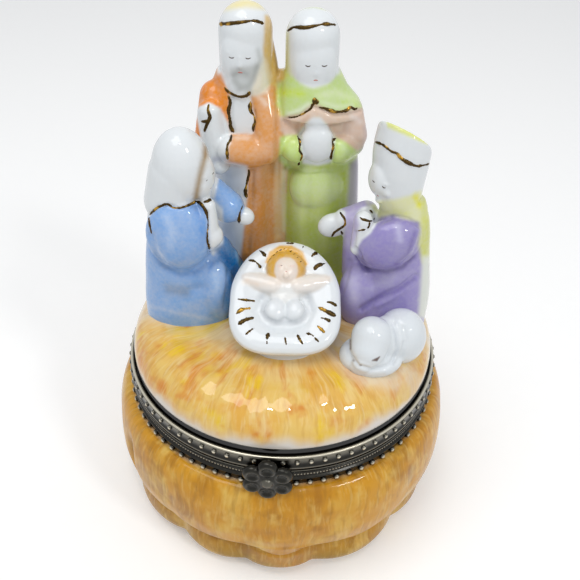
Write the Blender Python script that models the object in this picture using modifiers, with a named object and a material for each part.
"""A hinged porcelain trinket box with a nativity group on its lid, in metres, +Z up.

The box stands on its foot ring, centred on the Z axis. The clasp faces -Y and the hinge is at +Y.
Two blackened metal rims meet at the parting plane. One is glued round the mouth of the porcelain
base and the other round the neck of the porcelain lid, whose figures were pressed in one piece
with it. The lid group was glued in its rim turned a little, so it has an angle of its own.
"""

import math

import bmesh
import bpy
from mathutils import Matrix, Vector

MM = 0.001

# Levels and clearances
PARTING_HEIGHT = 34.0 * MM
RIM_GAP = 0.3 * MM
SEAT_GAP = 0.3 * MM
TURN_STEPS = 84

# Porcelain base
BODY_RADIUS = 36.5 * MM
BODY_HEIGHT = 18.0 * MM
LOWER_TIER_RADIUS = 34.9 * MM
LOWER_TIER_HEIGHT = 4.6 * MM
CREASE_RADIUS = 33.0 * MM
CREASE_HEIGHT = 8.4 * MM
SHOULDER_RADIUS = 33.0 * MM
LOBE_SEAMS = (-73, -33.5, -7.5, 15.5, 51.5, 84, 114, 145, 176, 207, 237, 262)
LOBE_DEPTH = 2.6 * MM
UPPER_LOBE_DEPTH = 0.5 * MM
LOBE_RISE = 2.2 * MM
CREASE_FILL = 1.2 * MM
FILLED_LOBE = 4.5
FILLED_HALF_WIDTH = 9.0
BASE_WALL = 3.0 * MM
FLOOR_THICKNESS = 2.8 * MM
FOOT_RADIUS = 27.5 * MM
FOOT_WIDTH = 5.5 * MM
FOOT_RECESS = 1.0 * MM

# Metal rims
RIM_RADIUS = 32.6 * MM
RIM_THICKNESS = 1.1 * MM
RIM_TOP_THICKNESS = 0.6 * MM
BASE_RIM_HEIGHT = 4.25 * MM
LID_RIM_HEIGHT = 2.95 * MM
FLANGE_WIDTH = 1.7 * MM
FLANGE_THICKNESS = 0.65 * MM
COLLAR_THICKNESS = 0.7 * MM
COLLAR_HEIGHT = 0.9 * MM
COLLAR_CLEARANCE = 0.5 * MM
BEAD_BAND = 1.1 * MM
BEAD_RISE = 0.6 * MM
DOT_BAND = 0.9 * MM
DOT_RISE = 0.4 * MM
MILLED_INSET = 0.28 * MM

# Porcelain lid
LID_INSET = 0.2 * MM
LID_WALL = 3.0 * MM
LID_LIP_HEIGHT = 1.2 * MM
DOME_HEIGHT = 12.0 * MM
DOME_SHOULDER = 7.5 * MM
LID_TURN = math.radians(3.6)
FATHER_HEIGHT = 57.0 * MM
CAPED_MAN_HEIGHT = 56.0 * MM
MOTHER_HEIGHT = 40.0 * MM
TURBANED_MAN_HEIGHT = 41.0 * MM
MANGER_WIDTH = 21.0 * MM
LAMB_LENGTH = 16.0 * MM
FATHER_FOOT = (-8.5 * MM, 12.0 * MM)
CAPED_MAN_FOOT = (6.7 * MM, 12.2 * MM)
MOTHER_FOOT = (-18.8 * MM, -0.5 * MM)
TURBANED_MAN_FOOT = (20.4 * MM, -0.5 * MM)
MANGER_FOOT = (0.3 * MM, -8.5 * MM)
LAMB_FOOT = (19.5 * MM, -13.5 * MM)
FIGURE_VOXEL = 0.45 * MM
FIGURE_TRIANGLES = 5600

# Clasp and hinge
FLOWER_RADIUS = 4.7 * MM
FLOWER_DROP = 0.6 * MM
FLOWER_DEPTH = 2.6 * MM
PETAL_COUNT = 6
NUB_RADIUS = 0.6 * MM
NUB_DROP = 2.1 * MM
NUB_CLEARANCE = 0.4 * MM
HINGE_WIDTH = 14.4 * MM
KNUCKLE_RADIUS = 1.1 * MM
PIN_RADIUS = 0.5 * MM
PIN_CLEARANCE = 0.1 * MM
LEAF_THICKNESS = 0.7 * MM
LEAF_HEIGHT = 2.6 * MM

# Worked out from the sizes above
BASE_RIM_TOP = PARTING_HEIGHT - RIM_GAP / 2
BASE_RIM_BOTTOM = BASE_RIM_TOP - BASE_RIM_HEIGHT
LID_RIM_BOTTOM = PARTING_HEIGHT + RIM_GAP / 2
LID_RIM_TOP = LID_RIM_BOTTOM + LID_RIM_HEIGHT
RIM_INNER = RIM_RADIUS - RIM_THICKNESS
LID_RADIUS = RIM_INNER - LID_INSET
NECK_RADIUS = RIM_INNER - SEAT_GAP
LID_FLANGE_INNER = RIM_INNER - FLANGE_WIDTH
COLLAR_OUTER = LID_FLANGE_INNER - COLLAR_CLEARANCE
COLLAR_INNER = COLLAR_OUTER - COLLAR_THICKNESS
BASE_NECK_TOP = BASE_RIM_TOP - FLANGE_THICKNESS - SEAT_GAP
LID_NECK_BOTTOM = LID_RIM_BOTTOM + FLANGE_THICKNESS + SEAT_GAP
PLATFORM_HEIGHT = PARTING_HEIGHT + DOME_HEIGHT
FLOWER_HEIGHT = PARTING_HEIGHT - FLOWER_DROP
RIM_WAIST = RIM_RADIUS - RIM_GAP
CLASP_SEAT = max(RIM_WAIST + BEAD_RISE, RIM_RADIUS + DOT_RISE) + SEAT_GAP
BASE_LEAF_INNER = RIM_RADIUS + SEAT_GAP
LID_LEAF_INNER = RIM_RADIUS + DOT_RISE + SEAT_GAP
AXIS_Y = max(LID_LEAF_INNER + LEAF_THICKNESS, BASE_LEAF_INNER + KNUCKLE_RADIUS)


def start_scene():
    """Empties the file and returns the collections for the parts and for the cutters."""
    for old in list(bpy.data.objects):
        bpy.data.objects.remove(old)
    parts = bpy.data.collections.new("nativity_trinket_box")
    cutters = bpy.data.collections.new("cutters")
    for group in (parts, cutters):
        bpy.context.scene.collection.children.link(group)
    return parts, cutters


def principled(name, colour, roughness, metallic=0.0):
    """A material of one colour, roughness and metallic value."""
    material = bpy.data.materials.new(name)
    material.use_nodes = True
    shader = material.node_tree.nodes["Principled BSDF"]
    shader.inputs["Base Color"].default_value = (*colour, 1.0)
    shader.inputs["Roughness"].default_value = roughness
    shader.inputs["Metallic"].default_value = metallic
    return material


def place(name, mesh, group, material=None):
    """Makes an object of a mesh in one of the collections, smooth but for its sharp edges."""
    thing = bpy.data.objects.new(name, mesh)
    group.objects.link(thing)
    if material:
        mesh.materials.append(material)
        mesh.shade_smooth()
        mesh.set_sharp_from_angle(angle=math.radians(35))
    else:
        thing.hide_render = True
        thing.display_type = "WIRE"
    return thing


def settled(thing):
    """The object's mesh with its modifiers applied. The object itself is removed."""
    bpy.context.view_layer.update()
    graph = bpy.context.evaluated_depsgraph_get()
    mesh = bpy.data.meshes.new_from_object(thing.evaluated_get(graph))
    bpy.data.objects.remove(thing)
    return mesh


def mesh_of(shape, name):
    """The mesh of a bmesh, with its faces turned outwards."""
    bmesh.ops.recalc_face_normals(shape, faces=shape.faces)
    mesh = bpy.data.meshes.new(name)
    shape.to_mesh(mesh)
    shape.free()
    return mesh


def turned(profile, closed, group):
    """A profile of (radius, height) points turned round the Z axis, as a bmesh."""
    mesh = bpy.data.meshes.new("profile")
    last = len(profile) if closed else len(profile) - 1
    edges = [(i, (i + 1) % len(profile)) for i in range(last)]
    mesh.from_pydata([(radius, 0, height) for radius, height in profile], edges, [])
    guide = place("profile", mesh, group)
    screw = guide.modifiers.new("turn", "SCREW")
    screw.steps = screw.render_steps = TURN_STEPS
    screw.use_merge_vertices = True
    screw.merge_threshold = 0.00001
    shape = bmesh.new()
    shape.from_mesh(settled(guide))
    return shape


def boolean(thing, other, operation):
    """Adds a Boolean modifier with another object."""
    modifier = thing.modifiers.new(other.name, "BOOLEAN")
    modifier.operation = operation
    modifier.object = other


def lobes(bearing):
    """0 where two of the base's lobes meet, 1 on the crest of the widest, by the bearing in degrees.

    The lobes were modelled by hand, so their widths differ, and the wider ones stand out further.
    """
    ends = LOBE_SEAMS[1:] + (LOBE_SEAMS[0] + 360,)
    widest = max(end - start for start, end in zip(LOBE_SEAMS, ends))
    bearing = (bearing - LOBE_SEAMS[0]) % 360 + LOBE_SEAMS[0]
    for start, end in zip(LOBE_SEAMS, ends):
        if bearing <= end:
            crest = ((end - start) / widest) ** 0.8
            return crest * abs(math.sin(math.pi * (bearing - start) / (end - start))) ** 0.8


def arc(centre, radii, start, end, count):
    """Points of an elliptical arc of a profile, between two angles in degrees."""
    angles = [math.radians(start + (end - start) * i / (count - 1)) for i in range(count)]
    return [(centre[0] + radii[0] * math.cos(a), centre[1] + radii[1] * math.sin(a)) for a in angles]


def make_porcelain_base(parts, cutters):
    """The slip-cast base: two tiers of soft lobes over a foot ring, and a plain neck for its rim."""
    shoulder_height = BASE_RIM_BOTTOM - SEAT_GAP
    tier_radius = LOWER_TIER_RADIUS - FOOT_RADIUS
    upper_radius = BODY_RADIUS - CREASE_RADIUS
    outline = [(0, FOOT_RECESS), (FOOT_RADIUS - FOOT_WIDTH - FOOT_RECESS, FOOT_RECESS)]
    outline += [(FOOT_RADIUS - FOOT_WIDTH, 0), (FOOT_RADIUS, 0)]
    outline += arc((FOOT_RADIUS, LOWER_TIER_HEIGHT), (tier_radius, LOWER_TIER_HEIGHT), -55, 30, 4)
    outline += [(CREASE_RADIUS, CREASE_HEIGHT)]
    rise = BODY_HEIGHT - CREASE_HEIGHT
    outline += arc((CREASE_RADIUS, BODY_HEIGHT), (upper_radius, rise), -68, 0, 4)
    drop = shoulder_height - BODY_HEIGHT
    outline += arc((SHOULDER_RADIUS, BODY_HEIGHT), (BODY_RADIUS - SHOULDER_RADIUS, drop), 30, 90, 3)
    outline += [(NECK_RADIUS, shoulder_height), (NECK_RADIUS, BASE_NECK_TOP), (0, BASE_NECK_TOP)]
    shape = turned(outline, False, cutters)
    for vertex in shape.verts:
        radius = vertex.co.xy.length
        height = vertex.co.z
        if radius <= FOOT_RADIUS or height >= shoulder_height:
            continue
        bearing = math.degrees(math.atan2(vertex.co.x, -vertex.co.y))
        hollow = 1 - lobes(bearing)
        depth = LOBE_DEPTH * min(1.0, (radius - FOOT_RADIUS) / tier_radius)
        if height > CREASE_HEIGHT:
            depth *= max(0.0, 1 - 2 * (height - CREASE_HEIGHT) / rise)
            depth = max(depth, UPPER_LOBE_DEPTH * min(1.0, (shoulder_height - height) / drop))
        depth *= hollow
        if abs(height - CREASE_HEIGHT) < SEAT_GAP:
            from_filled = (bearing - FILLED_LOBE) / FILLED_HALF_WIDTH
            depth -= CREASE_FILL * math.exp(-(from_filled**2))
        vertex.co.xy *= (radius - depth) / radius
        if abs(height - CREASE_HEIGHT) < LOWER_TIER_HEIGHT:
            vertex.co.z += LOBE_RISE * hollow
    glaze = principled("amber_glaze", (0.62, 0.34, 0.07), 0.15)
    base = place("porcelain_base", mesh_of(shape, "porcelain_base"), parts, glaze)

    floor = FOOT_RECESS + FLOOR_THICKNESS
    mouth = NECK_RADIUS - BASE_WALL
    room = BODY_RADIUS - BASE_WALL - UPPER_LOBE_DEPTH
    hollow = [(0, floor), (mouth - BASE_WALL, floor), (mouth, CREASE_HEIGHT), (room, BODY_HEIGHT - BASE_WALL)]
    hollow += [(room, BODY_HEIGHT + BASE_WALL), (mouth, shoulder_height - BASE_WALL)]
    hollow += [(mouth, PARTING_HEIGHT), (0, PARTING_HEIGHT)]
    hollow = place("base_hollow", mesh_of(turned(hollow, False, cutters), "base_hollow"), cutters)
    boolean(base, hollow, "DIFFERENCE")


def milled(shape, height, band, inset, rise):
    """Raises a bead on every face of the row whose middle is at this height."""
    row = [
        face
        for face in shape.faces
        if abs(face.calc_center_median().z - height) < band / 4
        and face.calc_center_median().xy.length > RIM_INNER + RIM_TOP_THICKNESS / 2
        and abs(face.normal.z) < 0.7
    ]
    bmesh.ops.inset_individual(shape, faces=row, thickness=inset, depth=0)
    bmesh.ops.poke(shape, faces=row, offset=rise, center_mode="MEAN")


def make_rims(parts, cutters):
    """The two metal rims: a flanged ring with a collar on the base, and a flared ring on the lid."""
    bead_top = BASE_RIM_BOTTOM + BEAD_BAND + RIM_GAP / 2
    bead_bottom = bead_top - BEAD_BAND
    outline = [(RIM_RADIUS, BASE_RIM_TOP), (RIM_WAIST, (BASE_RIM_TOP + bead_top) / 2)]
    outline += [(RIM_WAIST, bead_top), (RIM_WAIST, bead_bottom)]
    outline += [(RIM_WAIST - RIM_GAP, BASE_RIM_BOTTOM), (RIM_INNER, BASE_RIM_BOTTOM)]
    outline += [(RIM_INNER, BASE_RIM_TOP - FLANGE_THICKNESS), (COLLAR_INNER, BASE_RIM_TOP - FLANGE_THICKNESS)]
    outline += [(COLLAR_INNER, BASE_RIM_TOP + COLLAR_HEIGHT), (COLLAR_OUTER, BASE_RIM_TOP + COLLAR_HEIGHT)]
    outline += [(COLLAR_OUTER, BASE_RIM_TOP)]
    shape = turned(outline, True, cutters)
    bmesh.ops.recalc_face_normals(shape, faces=shape.faces)
    milled(shape, (bead_top + bead_bottom) / 2, BEAD_BAND, MILLED_INSET, BEAD_RISE)
    gunmetal = principled("gunmetal_base_rim", (0.06, 0.055, 0.05), 0.38, 1.0)
    place("base_bezel", mesh_of(shape, "base_bezel"), parts, gunmetal)

    dot_top = LID_RIM_TOP - RIM_TOP_THICKNESS
    dot_bottom = dot_top - DOT_BAND
    top_outer = RIM_INNER + RIM_TOP_THICKNESS
    outline = [(top_outer, LID_RIM_TOP), (top_outer + RIM_GAP / 2, dot_top)]
    outline += [(RIM_RADIUS, dot_bottom), (RIM_RADIUS, LID_RIM_BOTTOM), (LID_FLANGE_INNER, LID_RIM_BOTTOM)]
    outline += [(LID_FLANGE_INNER, LID_RIM_BOTTOM + FLANGE_THICKNESS)]
    outline += [(RIM_INNER, LID_RIM_BOTTOM + FLANGE_THICKNESS), (RIM_INNER, LID_RIM_TOP)]
    shape = turned(outline, True, cutters)
    bmesh.ops.recalc_face_normals(shape, faces=shape.faces)
    milled(shape, (dot_top + dot_bottom) / 2, DOT_BAND, MILLED_INSET, DOT_RISE)
    gunmetal = principled("gunmetal_lid_rim", (0.07, 0.065, 0.06), 0.34, 1.0)
    place("lid_bezel", mesh_of(shape, "lid_bezel"), parts, gunmetal)


def ball(shape, centre, radii, turn=0.0):
    """Adds an ellipsoid, turned about Y by an angle in degrees."""
    turned_axes = Matrix.Rotation(math.radians(turn), 4, "Y") @ Matrix.Diagonal((*radii, 1))
    matrix = Matrix.Translation(centre) @ turned_axes
    bmesh.ops.create_uvsphere(shape, u_segments=20, v_segments=12, radius=1, matrix=matrix)


def limb(shape, start, end, start_radius, end_radius):
    """Adds a tapering limb with round ends."""
    along = Vector(end) - Vector(start)
    middle = Matrix.Translation((Vector(start) + Vector(end)) / 2)
    matrix = middle @ along.to_track_quat("Z", "Y").to_matrix().to_4x4()
    bmesh.ops.create_cone(
        shape,
        cap_ends=True,
        segments=16,
        radius1=start_radius,
        radius2=end_radius,
        depth=along.length,
        matrix=matrix,
    )
    ball(shape, start, (start_radius,) * 3)
    ball(shape, end, (end_radius,) * 3)


def loft(shape, sections, sides=24):
    """Adds a closed body through ellipses: height, x, y, half width, half depth and tilt in degrees."""
    rings = []
    for height, x, y, half_width, half_depth, tilt in sections:
        turn = Matrix.Rotation(math.radians(tilt), 3, "Y")
        angles = [2 * math.pi * i / sides for i in range(sides)]
        offsets = [turn @ Vector((half_width * math.cos(a), half_depth * math.sin(a), 0)) for a in angles]
        rings.append([shape.verts.new(Vector((x, y, height)) + offset) for offset in offsets])
    for lower, upper in zip(rings, rings[1:]):
        for i in range(sides):
            j = (i + 1) % sides
            shape.faces.new((lower[i], lower[j], upper[j], upper[i]))
    shape.faces.new(list(reversed(rings[0])))
    shape.faces.new(rings[-1])


def stand(group, figure, foot, size, drawn_size):
    """Puts a figure, drawn in millimetres from its foot point, on the lid at its real size."""
    scale = Matrix.Scale(size / drawn_size, 4)
    figure.transform(Matrix.Translation((*foot, PLATFORM_HEIGHT)) @ scale)
    mesh = bpy.data.meshes.new("figure")
    figure.to_mesh(mesh)
    figure.free()
    group.from_mesh(mesh)
    bpy.data.meshes.remove(mesh)


def standing_father(group):
    """The bearded man at the back left, one forearm across his open coat."""
    man = bmesh.new()
    robe = [(-5, 0, 0, 7.8, 7.4, 0), (2, 0, 0, 7.6, 7.2, 0), (14, 0.1, -0.2, 7.0, 6.6, 0)]
    robe += [(26, 0.3, -0.5, 6.4, 6.0, 0), (33, -0.1, -1.0, 7.4, 5.8, 0), (39, -0.3, -1.2, 7.2, 5.4, 0)]
    robe += [(43, 0.2, -1.2, 5.6, 4.8, 0), (45.5, 0.5, -1.4, 4.9, 4.7, 0)]
    loft(man, robe)
    limb(man, (0.6, -1.7, 44), (0.6, -1.7, 52.4), 4.6, 4.6)
    ball(man, (0.4, -4.4, 48.4), (3.4, 2.4, 5.6))
    ball(man, (0.2, -5.0, 43.8), (2.4, 1.9, 3.2))
    limb(man, (4.2, -2.8, 41.2), (4.9, -5.0, 33.6), 2.9, 3.1)
    limb(man, (4.8, -5.8, 32.4), (-1.7, -8.0, 33.0), 2.9, 2.6)
    limb(man, (-4.7, -2.2, 40.5), (-6.1, -4.0, 34.0), 3.0, 2.6)
    limb(man, (-5.5, -5.6, 39.0), (-4.3, -6.8, 29.5), 2.3, 2.2)
    stand(group, man, FATHER_FOOT, FATHER_HEIGHT, 57)


def standing_caped_man(group):
    """The man at the back right, hands folded under a short cape."""
    man = bmesh.new()
    robe = [(-5, 0, 0, 7.9, 7.4, 0), (2, 0, 0, 7.9, 7.2, 0), (14, 0.2, -0.2, 7.9, 6.8, 0)]
    robe += [(22, -0.3, -0.4, 7.4, 6.6, 0), (27, -0.7, -0.7, 6.7, 5.8, 0), (33, -0.7, -1.0, 7.2, 5.6, 0)]
    robe += [(39, -1.1, -1.2, 6.9, 5.3, 0), (45.5, -2.6, -1.4, 4.9, 4.6, 0)]
    loft(man, robe)
    cape = [(38.2, -1.4, -2.0, 8.7, 6.4, 0), (40.5, -1.6, -1.9, 7.9, 6.2, 0)]
    cape += [(43, -2.2, -1.8, 6.2, 5.6, 0), (46, -2.6, -1.6, 4.9, 4.9, 0)]
    loft(man, cape)
    ball(man, (-0.6, -4.8, 21), (4.6, 2.4, 7))
    limb(man, (-2.9, -1.9, 43.5), (-3.0, -1.9, 51.4), 4.6, 4.6)
    ball(man, (-2.4, -4.6, 47.4), (3.5, 2.4, 5.4))
    for side, across in ((1, 0.0), (-1, -1.2)):
        shoulder, elbow, wrist = 4.6 * side + across, 6.2 * side + across, 3.2 * side + across - 0.9
        limb(man, (shoulder, -3.4, 39), (elbow, -4.2, 33), 2.6, 2.7)
        limb(man, (elbow, -5.2, 31.6), (wrist, -7.4, 32.1), 2.5, 2.5)
    ball(man, (-1.8, -8.0, 33.2), (3.2, 1.8, 3.9))
    ball(man, (-2.1, -7.4, 36.6), (1.9, 1.4, 2.2))
    stand(group, man, CAPED_MAN_FOOT, CAPED_MAN_HEIGHT, 56)


def kneeling_mother(group):
    """The veiled woman kneeling at the left, one hand at her breast and one held out."""
    woman = bmesh.new()
    skirt = [(-6, 0, 0, 9.4, 7.2, 0), (0, 0, -0.1, 9.4, 6.9, 0), (5, -0.1, -0.3, 9.0, 6.4, 0)]
    skirt += [(11, -0.8, -0.7, 7.6, 5.4, 0), (17, -1.2, -1.1, 6.3, 4.9, 0), (23, -1.0, -1.5, 5.6, 4.5, 0)]
    skirt += [(27, -0.4, -1.5, 4.8, 4.2, 0)]
    loft(woman, skirt)
    ball(woman, (7.0, -3.0, 3.5), (3.4, 3.4, 4.6))
    ball(woman, (8.8, 3.0, 4.0), (3.2, 3.2, 6.0))
    ball(woman, (-0.6, -5.1, 20.4), (6.0, 3.5, 7.3))
    ball(woman, (0.3, -1.3, 32.4), (5.3, 5.3, 7.6))
    limb(woman, (-0.5, -1.3, 31.0), (-2.1, -1.3, 25.6), 5.2, 4.9)
    ball(woman, (4.0, -2.2, 31.2), (2.7, 3.2, 4.6))
    limb(woman, (5.4, -4.5, 25.3), (5.6, -4.5, 18.7), 1.8, 2.0)
    limb(woman, (5.6, 1.7, 26.4), (10.0, 1.5, 22.4), 2.5, 2.8)
    ball(woman, (12.0, 1.5, 20.8), (2.1, 1.8, 1.9))
    stand(group, woman, MOTHER_FOOT, MOTHER_HEIGHT, 40)


def kneeling_turbaned_man(group):
    """The man kneeling at the right in a flat-topped turban, one hand held out over the manger."""
    man = bmesh.new()
    skirt = [(-6, -0.1, 0, 9.2, 7.4, 0), (0, 0, 0, 9.1, 7.0, 0), (5, 0.2, -0.2, 8.8, 6.4, 0)]
    skirt += [(11, 1.2, -0.4, 7.4, 5.6, 0), (17, 1.8, -0.7, 6.2, 5.0, 0), (23, 1.8, -1.0, 5.2, 4.4, 0)]
    skirt += [(27, 1.1, -1.0, 4.2, 3.8, 0)]
    loft(man, skirt)
    head = [(25, 0.4, -1.0, 3.7, 3.7, 0), (28, -0.4, -1.1, 4.3, 4.3, 8), (32, -0.8, -1.0, 4.8, 4.8, 15)]
    head += [(35, -0.6, -0.8, 5.0, 5.0, 22), (38.2, -0.4, -0.7, 5.0, 5.0, 26)]
    loft(man, head)
    ball(man, (-7.2, -2.5, 4.0), (2.8, 3.2, 5.0))
    ball(man, (-1.2, -4.9, 19.0), (6.4, 3.5, 5.2), -35)
    limb(man, (-6.4, -4.1, 23.8), (-6.8, -4.3, 18.2), 1.8, 1.6)
    limb(man, (-5.4, 2.0, 21.5), (-9.8, 2.1, 19.7), 2.4, 2.2)
    ball(man, (-12.0, 2.3, 19.3), (2.6, 1.9, 2.0))
    ball(man, (-4.0, -2.1, 30.4), (2.4, 2.9, 4.2))
    ball(man, (1.9, -0.7, 25.0), (4.8, 4.4, 2.4))
    limb(man, (5.0, 0.9, 22.5), (6.4, 1.2, 4.0), 2.3, 2.6)
    stand(group, man, TURBANED_MAN_FOOT, TURBANED_MAN_HEIGHT, 41)


def manger_and_child(group):
    """The oval manger, tipped towards the front, with the child lying in it arms wide."""
    manger = bmesh.new()
    dish = [(-7.5, 0, 0, 7.4, 8.0, 0), (-3.0, 0, 0, 9.9, 10.6, 0), (-0.8, 0, 0, 10.5, 11.4, 0)]
    dish += [(0.2, 0, 0, 9.8, 10.6, 0), (0.0, 0, 0, 8.4, 9.2, 0), (-1.6, 0, 0, 7.0, 7.8, 0)]
    loft(manger, dish, 32)
    ball(manger, (0, 5.2, 0.4), (3.7, 3.4, 2.6))
    ball(manger, (0, 4.6, 1.5), (2.7, 2.8, 2.0))
    ball(manger, (0, -2.0, -0.9), (5.2, 5.4, 2.2))
    for side in (-1, 1):
        ball(manger, (2.2 * side, -3.0, 0.5), (2.5, 2.7, 1.9))
        limb(manger, (2.6 * side, 1.6, -0.1), (7.6 * side, 3.4, 0.1), 1.5, 1.2)
    manger.transform(Matrix.Translation((0, -0.5, 9.6)) @ Matrix.Rotation(math.radians(31), 4, "X"))
    loft(manger, [(-4, 0, 0.4, 8.2, 8.4, 0), (1, 0, 0.6, 8.6, 8.6, 0), (6, 0, 2.6, 8.2, 6.4, 0)])
    stand(group, manger, MANGER_FOOT, MANGER_WIDTH, 21)


def curled_lamb(group):
    """The lamb lying curled at the front right with its head bowed."""
    lamb = bmesh.new()
    ball(lamb, (-2.5, -1.5, 3.6), (4.0, 4.3, 4.2))
    ball(lamb, (-2.7, -1.5, 0.6), (5.9, 5.1, 3.2))
    ball(lamb, (3.1, 1.9, 1.6), (4.9, 5.1, 5.0))
    stand(group, lamb, LAMB_FOOT, LAMB_LENGTH, 16)


def make_porcelain_lid(parts, cutters):
    """The lid: a low dome on a plain neck, hollow below, with the figures all of one piece with it."""
    lip = LID_RIM_TOP + LID_LIP_HEIGHT
    shoulder_radius = LID_RADIUS - DOME_SHOULDER
    dome_rise = PLATFORM_HEIGHT - lip
    dome = [(0, lip - SEAT_GAP), (LID_RADIUS - SEAT_GAP, lip - SEAT_GAP)]
    dome += arc((shoulder_radius, lip + SEAT_GAP), (DOME_SHOULDER, dome_rise - SEAT_GAP), 0, 90, 7)
    dome += [(0, PLATFORM_HEIGHT)]
    group = turned(dome, False, cutters)
    standing_father(group)
    standing_caped_man(group)
    kneeling_mother(group)
    kneeling_turbaned_man(group)
    manger_and_child(group)
    curled_lamb(group)
    group.transform(Matrix.Rotation(LID_TURN, 4, "Z"))
    group = place("lid_group", mesh_of(group, "lid_group"), cutters)
    remesh = group.modifiers.new("fuse", "REMESH")
    remesh.mode = "VOXEL"
    remesh.voxel_size = FIGURE_VOXEL
    soften = group.modifiers.new("soften", "SMOOTH")
    soften.factor = 0.5
    soften.iterations = 5
    fused = settled(group)
    group = place("lid_group", fused, cutters)
    thin = group.modifiers.new("thin", "DECIMATE")
    thin.ratio = FIGURE_TRIANGLES / (2 * len(fused.polygons))
    white_glaze = principled("painted_white_glaze", (0.86, 0.82, 0.7), 0.12)
    lid = place("porcelain_lid", settled(group), parts, white_glaze)

    throat = NECK_RADIUS - SEAT_GAP
    neck = [(0, LID_NECK_BOTTOM), (NECK_RADIUS, LID_NECK_BOTTOM), (NECK_RADIUS, LID_RIM_TOP)]
    neck += [(throat - SEAT_GAP, lip), (throat - LID_WALL / 2, lip + LID_LIP_HEIGHT)]
    neck += [(0, lip + LID_LIP_HEIGHT)]
    neck = place("lid_neck", mesh_of(turned(neck, False, cutters), "lid_neck"), cutters)
    mouth = NECK_RADIUS - LID_WALL
    ceiling = PLATFORM_HEIGHT - LID_WALL
    hollow = [(0, PARTING_HEIGHT), (mouth, PARTING_HEIGHT)]
    hollow += arc((mouth - DOME_SHOULDER, lip), (DOME_SHOULDER, ceiling - lip), 0, 90, 5)
    hollow += [(0, ceiling)]
    hollow = place("lid_hollow", mesh_of(turned(hollow, False, cutters), "lid_hollow"), cutters)
    boolean(lid, neck, "UNION")
    boolean(lid, hollow, "DIFFERENCE")


def make_clasp(parts, cutters):
    """The cast flower on the lid's rim, and the nub on the base's rim that its back snaps over."""
    reach = CLASP_SEAT
    petal = FLOWER_RADIUS * 0.38
    shape = bmesh.new()
    plate = FLOWER_RADIUS * 0.8
    ball(shape, (0, -reach - FLOWER_DEPTH * 0.3, FLOWER_HEIGHT), (plate, FLOWER_DEPTH * 0.5, plate))
    for i in range(PETAL_COUNT):
        angle = 2 * math.pi * i / PETAL_COUNT
        out = FLOWER_RADIUS - petal
        x, z = out * math.sin(angle), FLOWER_HEIGHT + out * math.cos(angle)
        ball(shape, (x, -reach - FLOWER_DEPTH * 0.35, z), (petal, FLOWER_DEPTH * 0.5, petal))
    boss = FLOWER_DEPTH * 0.5
    ball(shape, (0, -reach - FLOWER_DEPTH + boss, FLOWER_HEIGHT), (boss, boss, boss))
    flower = place("flower_blank", mesh_of(shape, "flower_blank"), cutters)
    remesh = flower.modifiers.new("fuse", "REMESH")
    remesh.mode = "VOXEL"
    remesh.voxel_size = 0.2 * MM
    fused = settled(flower)
    flower = place("flower_blank", fused, cutters)
    thin = flower.modifiers.new("thin", "DECIMATE")
    thin.ratio = 700 / (2 * len(fused.polygons))
    gunmetal = principled("gunmetal_clasp", (0.05, 0.047, 0.043), 0.42, 1.0)
    flower = place("clasp_flower", settled(flower), parts, gunmetal)

    low = BASE_RIM_BOTTOM - FLOWER_RADIUS
    high = LID_RIM_TOP + FLOWER_RADIUS
    seat = turned([(0, high), (reach, high), (reach, low), (0, low)], False, cutters)
    boolean(flower, place("clasp_seat", mesh_of(seat, "clasp_seat"), cutters), "DIFFERENCE")
    nub_height = PARTING_HEIGHT - NUB_DROP
    nub_back = RIM_WAIST + SEAT_GAP
    nub_front = reach + NUB_RADIUS
    half = NUB_RADIUS + NUB_CLEARANCE
    front = nub_front + NUB_CLEARANCE
    slot = bmesh.new()
    bmesh.ops.create_cube(slot, size=1)
    depth = front - COLLAR_INNER
    slot_size = Matrix.Diagonal((2 * half, depth, nub_height + half - low, 1))
    slot.transform(Matrix.Translation((0, -front + depth / 2, (low + nub_height + half) / 2)) @ slot_size)
    boolean(flower, place("clasp_slot", mesh_of(slot, "clasp_slot"), cutters), "DIFFERENCE")

    nub = bmesh.new()
    length = nub_front - nub_back
    turn = Matrix.Rotation(math.radians(90), 4, "X")
    middle = Matrix.Translation((0, -nub_back - length / 2, nub_height))
    bmesh.ops.create_cone(
        nub,
        cap_ends=True,
        segments=12,
        radius1=NUB_RADIUS * 0.8,
        radius2=NUB_RADIUS,
        depth=length,
        matrix=middle @ turn,
    )
    gunmetal = principled("gunmetal_nub", (0.06, 0.055, 0.05), 0.4, 1.0)
    place("catch_nub", mesh_of(nub, "catch_nub"), parts, gunmetal)


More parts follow.
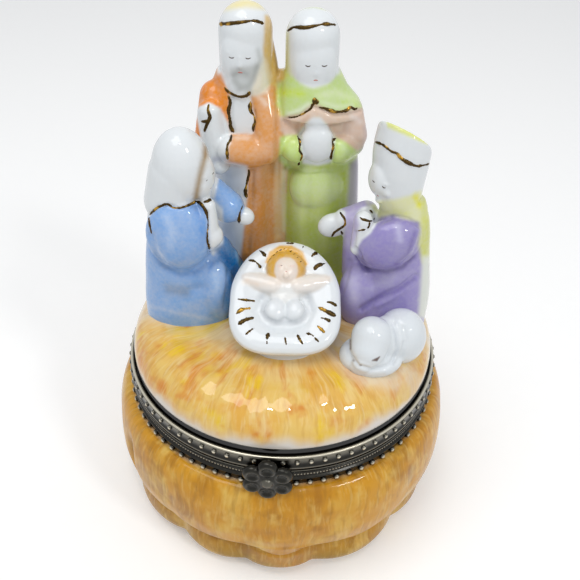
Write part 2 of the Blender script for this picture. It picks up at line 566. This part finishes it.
def knuckle(name, middle, width, leaf_side, parts, cutters):
    """One hinge knuckle: a tube on the pin, with a leaf soldered to a rim above or below it."""
    turn = Matrix.Rotation(math.radians(90), 4, "Y")
    centre = Matrix.Translation((middle, AXIS_Y, PARTING_HEIGHT))
    tube = bmesh.new()
    bmesh.ops.create_cone(
        tube,
        cap_ends=True,
        segments=20,
        radius1=KNUCKLE_RADIUS,
        radius2=KNUCKLE_RADIUS,
        depth=width,
        matrix=centre @ turn,
    )
    gunmetal = principled("gunmetal_" + name, (0.06, 0.055, 0.05), 0.4, 1.0)
    tube = place(name, mesh_of(tube, name), parts, gunmetal)

    inner = LID_LEAF_INNER if leaf_side > 0 else BASE_LEAF_INNER
    leaf = bmesh.new()
    bmesh.ops.create_cube(leaf, size=1)
    leaf.transform(Matrix.Diagonal((width - SEAT_GAP, AXIS_Y - inner, LEAF_HEIGHT, 1)))
    leaf_height = PARTING_HEIGHT + leaf_side * LEAF_HEIGHT / 2
    leaf.transform(Matrix.Translation((middle, (AXIS_Y + inner) / 2, leaf_height)))
    boolean(tube, place(name + "_leaf", mesh_of(leaf, name + "_leaf"), cutters), "UNION")

    bore = bmesh.new()
    bmesh.ops.create_cone(
        bore,
        cap_ends=True,
        segments=20,
        radius1=PIN_RADIUS + PIN_CLEARANCE,
        radius2=PIN_RADIUS + PIN_CLEARANCE,
        depth=width + 2 * KNUCKLE_RADIUS,
        matrix=centre @ turn,
    )
    boolean(tube, place(name + "_bore", mesh_of(bore, name + "_bore"), cutters), "DIFFERENCE")


def make_hinge(parts, cutters):
    """Three knuckles on one pin behind the rims: the outer two on the base, the middle one on the lid."""
    width = (HINGE_WIDTH - 2 * SEAT_GAP) / 3
    pitch = width + SEAT_GAP
    knuckle("hinge_knuckle_left", -pitch, width, -1, parts, cutters)
    knuckle("hinge_knuckle_centre", 0, width, 1, parts, cutters)
    knuckle("hinge_knuckle_right", pitch, width, -1, parts, cutters)
    pin = bmesh.new()
    bmesh.ops.create_cone(
        pin,
        cap_ends=True,
        segments=20,
        radius1=PIN_RADIUS,
        radius2=PIN_RADIUS,
        depth=HINGE_WIDTH + SEAT_GAP,
        matrix=Matrix.Translation((0, AXIS_Y, PARTING_HEIGHT)) @ Matrix.Rotation(math.radians(90), 4, "Y"),
    )
    steel = principled("pin_steel", (0.2, 0.19, 0.18), 0.35, 1.0)
    place("hinge_pin", mesh_of(pin, "hinge_pin"), parts, steel)


parts_group, cutter_group = start_scene()
make_porcelain_base(parts_group, cutter_group)
make_rims(parts_group, cutter_group)
make_porcelain_lid(parts_group, cutter_group)
make_clasp(parts_group, cutter_group)
make_hinge(parts_group, cutter_group)
